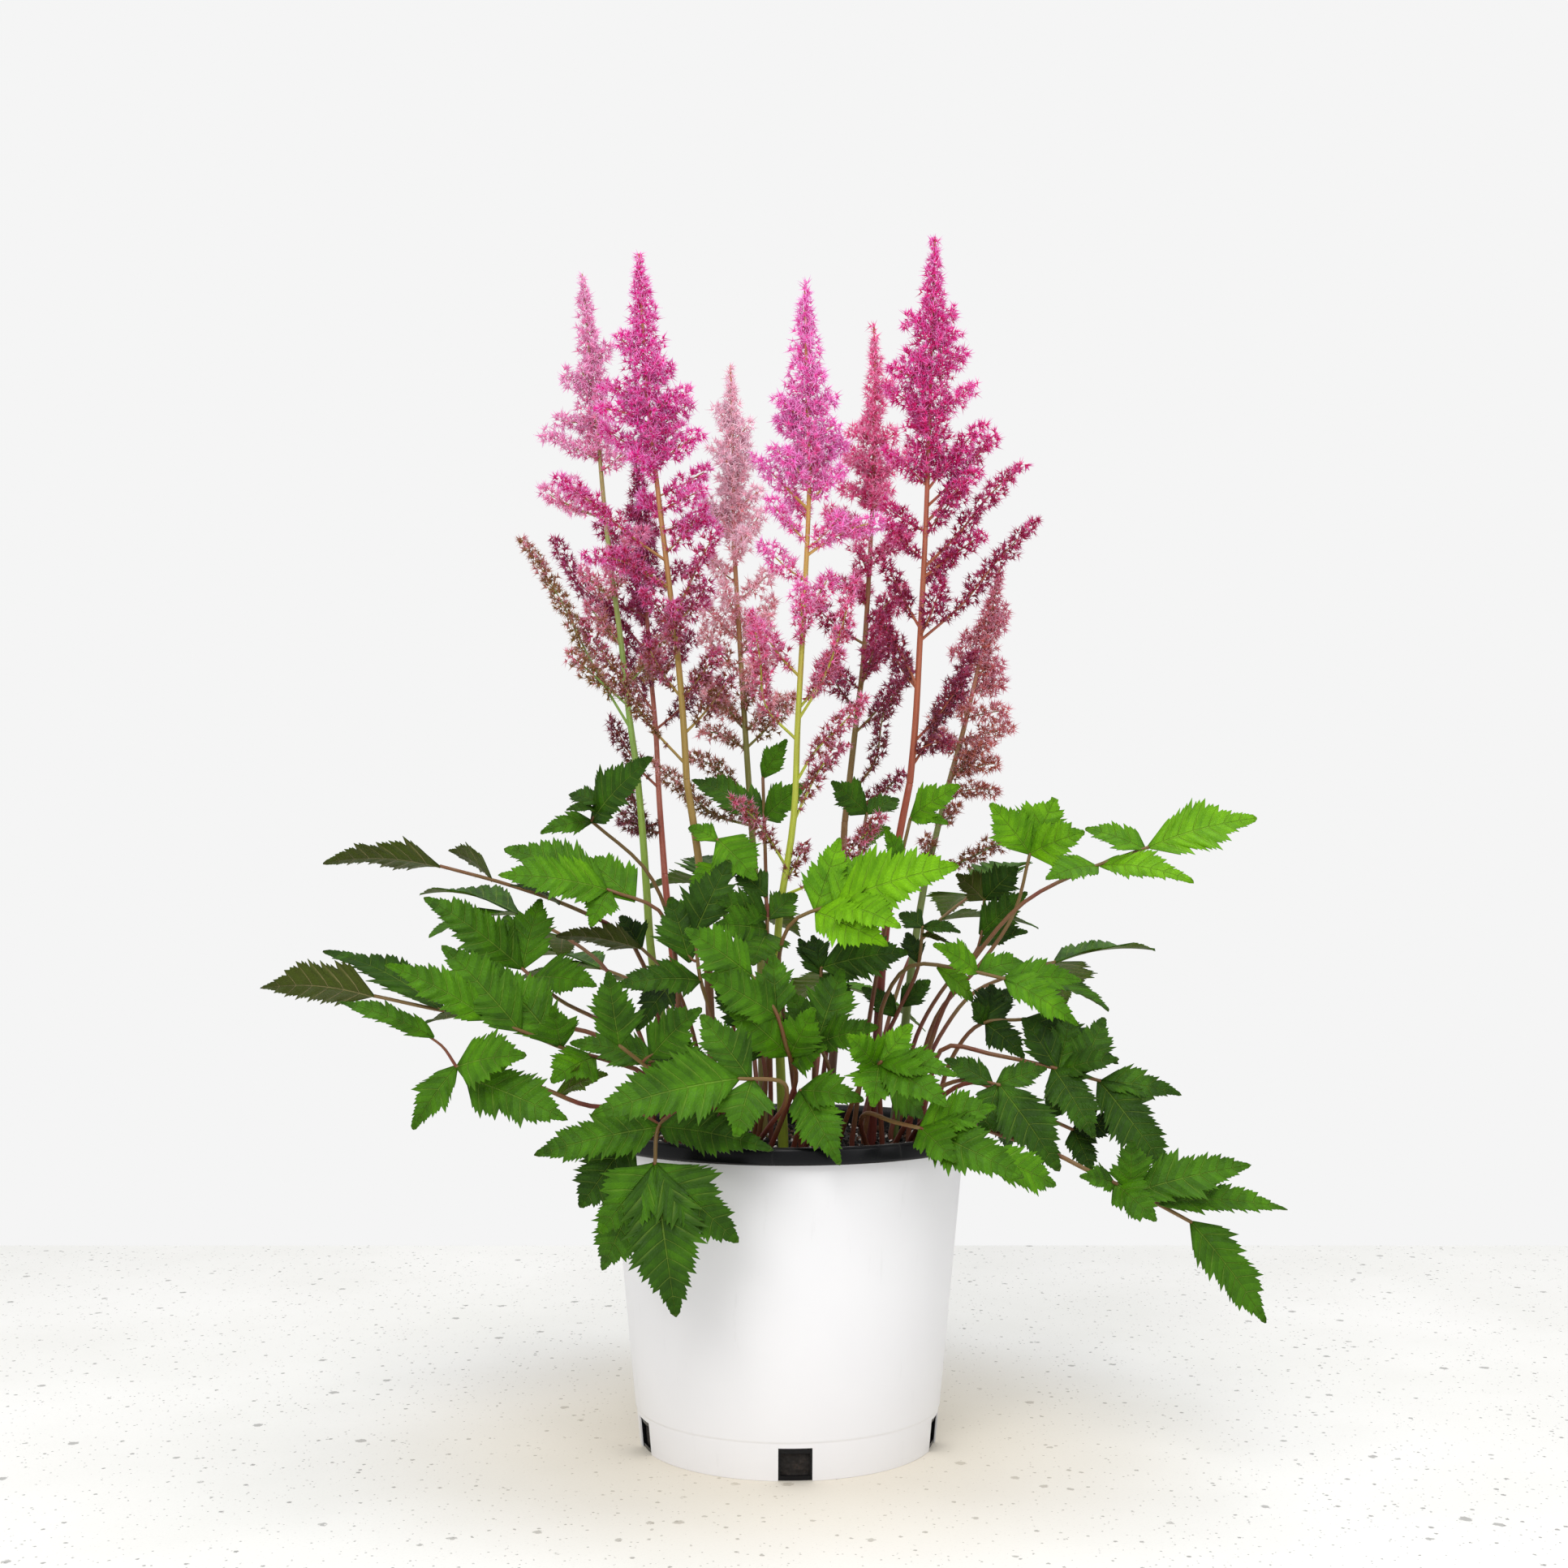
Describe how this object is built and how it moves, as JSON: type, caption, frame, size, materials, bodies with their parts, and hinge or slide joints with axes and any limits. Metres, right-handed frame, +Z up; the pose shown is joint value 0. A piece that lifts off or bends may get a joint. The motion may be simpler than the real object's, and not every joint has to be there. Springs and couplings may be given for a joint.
{
  "type": "potted astilbe plant",
  "caption": "Astilbe perennial with plumed pink flower stalks over cut serrated leaves, in a round white and black nursery pot of soil.",
  "frame": {"origin": "centre of the pot's flat foot, on the surface it stands on", "axes": "+Z up along the pot's axis; -Y is the front, as pictured"},
  "size_m": [0.4516, 0.3599, 0.5782],
  "materials": {
    "pot_white": "smooth white moulded plastic",
    "pot_black": "glossy black moulded plastic",
    "soil": "dark potting mix with white perlite",
    "leaf": "living leaf, finely veined, faint sheen",
    "stem_green": "living stem, yellow green",
    "stem_red": "living stem, red brown",
    "flower_magenta": "living florets, magenta fading to brown below",
    "flower_pale": "living florets, pale pink"
  },
  "bodies": {
    "root": {"flowers_far_left": "flower_pale", "flowers_far_right": "flower_pale", "flowers_left": "flower_magenta", "flowers_left_back": "flower_magenta", "flowers_middle": "flower_magenta", "flowers_middle_left": "flower_pale", "flowers_middle_right": "flower_magenta", "flowers_right": "flower_magenta", "leaf_back_1": "leaf", "leaf_back_2": "leaf", "leaf_back_3": "leaf", "leaf_back_4": "leaf", "leaf_back_5": "leaf", "leaf_back_6": "leaf", "leaf_centre_back": "leaf", "leaf_centre_bright": "leaf", "leaf_centre_dark": "leaf", "leaf_centre_left": "leaf", "leaf_centre_right": "leaf", "leaf_centre_shade": "leaf", "leaf_centre_young": "leaf", "leaf_front_centre": "leaf", "leaf_front_hanging": "leaf", "leaf_front_long": "leaf", "leaf_left_bright": "leaf", "leaf_left_curled": "leaf", "leaf_left_grey": "leaf", "leaf_left_inner": "leaf", "leaf_left_low": "leaf", "leaf_left_low_front": "leaf", "leaf_left_mid": "leaf", "leaf_left_on_stalk": "leaf", "leaf_left_shade": "leaf", "leaf_left_top": "leaf", "leaf_right_bright": "leaf", "leaf_right_dark": "leaf", "leaf_right_front": "leaf", "leaf_right_inner": "leaf", "leaf_right_long": "leaf", "leaf_right_low_back": "leaf", "leaf_right_lowest": "leaf", "leaf_right_maple": "leaf", "leaf_right_mass": "leaf", "leaf_right_mass_back": "leaf", "leaf_right_mass_front": "leaf", "leaf_right_rim": "leaf", "leaf_right_small": "leaf", "leaf_top_back": "leaf", "leaf_top_right_back": "leaf", "pot_liner": "pot_black", "pot_skin": "pot_white", "soil": "soil", "stalk_far_left": "stem_green", "stalk_far_right": "stem_green", "stalk_left": "stem_red", "stalk_left_back": "stem_red", "stalk_middle": "stem_green", "stalk_middle_left": "stem_green", "stalk_middle_right": "stem_red", "stalk_right": "stem_red"}
  },
  "joints": []
}
